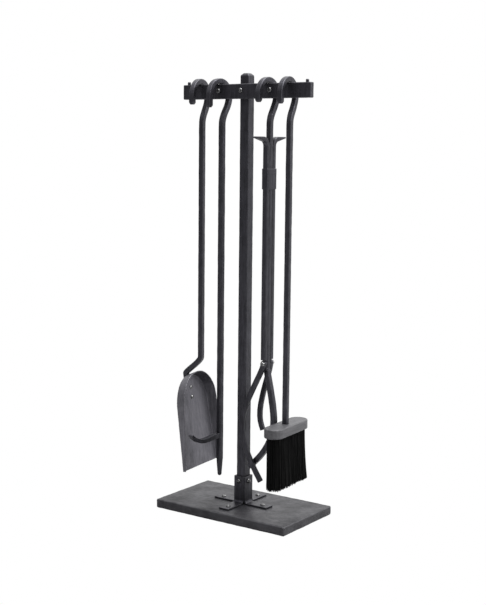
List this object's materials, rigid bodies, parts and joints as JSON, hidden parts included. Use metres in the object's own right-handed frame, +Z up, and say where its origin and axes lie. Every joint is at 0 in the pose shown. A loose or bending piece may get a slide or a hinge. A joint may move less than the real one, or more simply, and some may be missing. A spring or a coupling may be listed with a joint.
{
  "type": "fireplace tool set",
  "caption": "Square-post stand on a rectangular plate, with a shovel, poker, claw tongs and brush hung by hooks from its crossbar.",
  "frame": {"origin": "middle of the base plate's underside, under the post's axis", "axes": "+Z up along the post, +X along the crossbar towards the brush, -Y the side where the hooks' free ends hang"},
  "size_m": [0.2925, 0.1698, 0.8145],
  "materials": {
    "forged_iron": "dark satin, lightly mottled",
    "plate_iron": "dark satin with a hammered, brushed top",
    "pan_sheet": "dark grey satin sheet, slightly streaked",
    "hardware": "worn bright satin heads",
    "brush_head": "grey-black stained wood, satin",
    "bristles": "black coarse fibre, matt"
  },
  "bodies": {
    "stand": {"arm_left": "forged_iron", "arm_right": "forged_iron", "base_plate": "plate_iron", "base_screw_back": "hardware", "base_screw_front": "hardware", "base_screw_left": "hardware", "base_screw_right": "hardware", "bracket_back": "forged_iron", "bracket_front": "forged_iron", "bracket_left": "forged_iron", "bracket_right": "forged_iron", "crossbar": "forged_iron", "crossbar_bolt_left": "hardware", "crossbar_bolt_middle": "hardware", "crossbar_bolt_right": "hardware", "crossbar_nut_left": "hardware", "crossbar_nut_middle": "hardware", "crossbar_nut_right": "hardware", "post": "forged_iron", "post_screw_back": "hardware", "post_screw_front": "hardware", "post_screw_left": "hardware", "post_screw_right": "hardware", "stop_pin_left": "forged_iron", "stop_pin_right": "forged_iron"},
    "shovel": {"shovel_handle": "forged_iron", "shovel_pan": "pan_sheet", "shovel_rivet_lower": "hardware", "shovel_rivet_upper": "hardware"},
    "poker": {"poker_barb": "forged_iron", "poker_shaft": "forged_iron"},
    "tongs": {"tongs_claw_middle": "forged_iron", "tongs_claw_rear": "forged_iron", "tongs_pivot_bolt": "hardware", "tongs_pivot_nut": "hardware", "tongs_rod": "forged_iron"},
    "tongs_grips": {"tongs_collar": "forged_iron", "tongs_grip_front": "forged_iron", "tongs_grip_rear": "forged_iron"},
    "tongs_claw": {"tongs_claw_front": "forged_iron"},
    "brush": {"brush_bristles": "bristles", "brush_handle": "forged_iron", "brush_head": "brush_head"}
  },
  "joints": [
    {"name": "shovel_lift", "type": "slide", "parent": "stand", "child": "shovel", "axis": [0, 0.2924, 0.9563], "range_m": [0, 0.8]},
    {"name": "poker_lift", "type": "slide", "parent": "stand", "child": "poker", "axis": [0, 0.2924, 0.9563], "range_m": [0, 0.8]},
    {"name": "tongs_lift", "type": "slide", "parent": "stand", "child": "tongs", "axis": [0, 0, 1], "range_m": [0, 0.022]},
    {"name": "tongs_grip_slide", "type": "slide", "parent": "tongs", "child": "tongs_grips", "axis": [0, 0, 1], "range_m": [0, 0.006]},
    {"name": "tongs_claw_swing", "type": "hinge", "parent": "tongs", "child": "tongs_claw", "pos_m": [0.05488, -0.0071, 0.291], "axis": [0.0349, 0.9994, 0], "range_deg": [0, 20]},
    {"name": "brush_lift", "type": "slide", "parent": "stand", "child": "brush", "axis": [0, 0.2924, 0.9563], "range_m": [0, 0.8]}
  ],
  "couplings": [
    {"joint": "tongs_claw_swing", "follows": "tongs_grip_slide", "rad_per_m": 58.178}
  ]
}
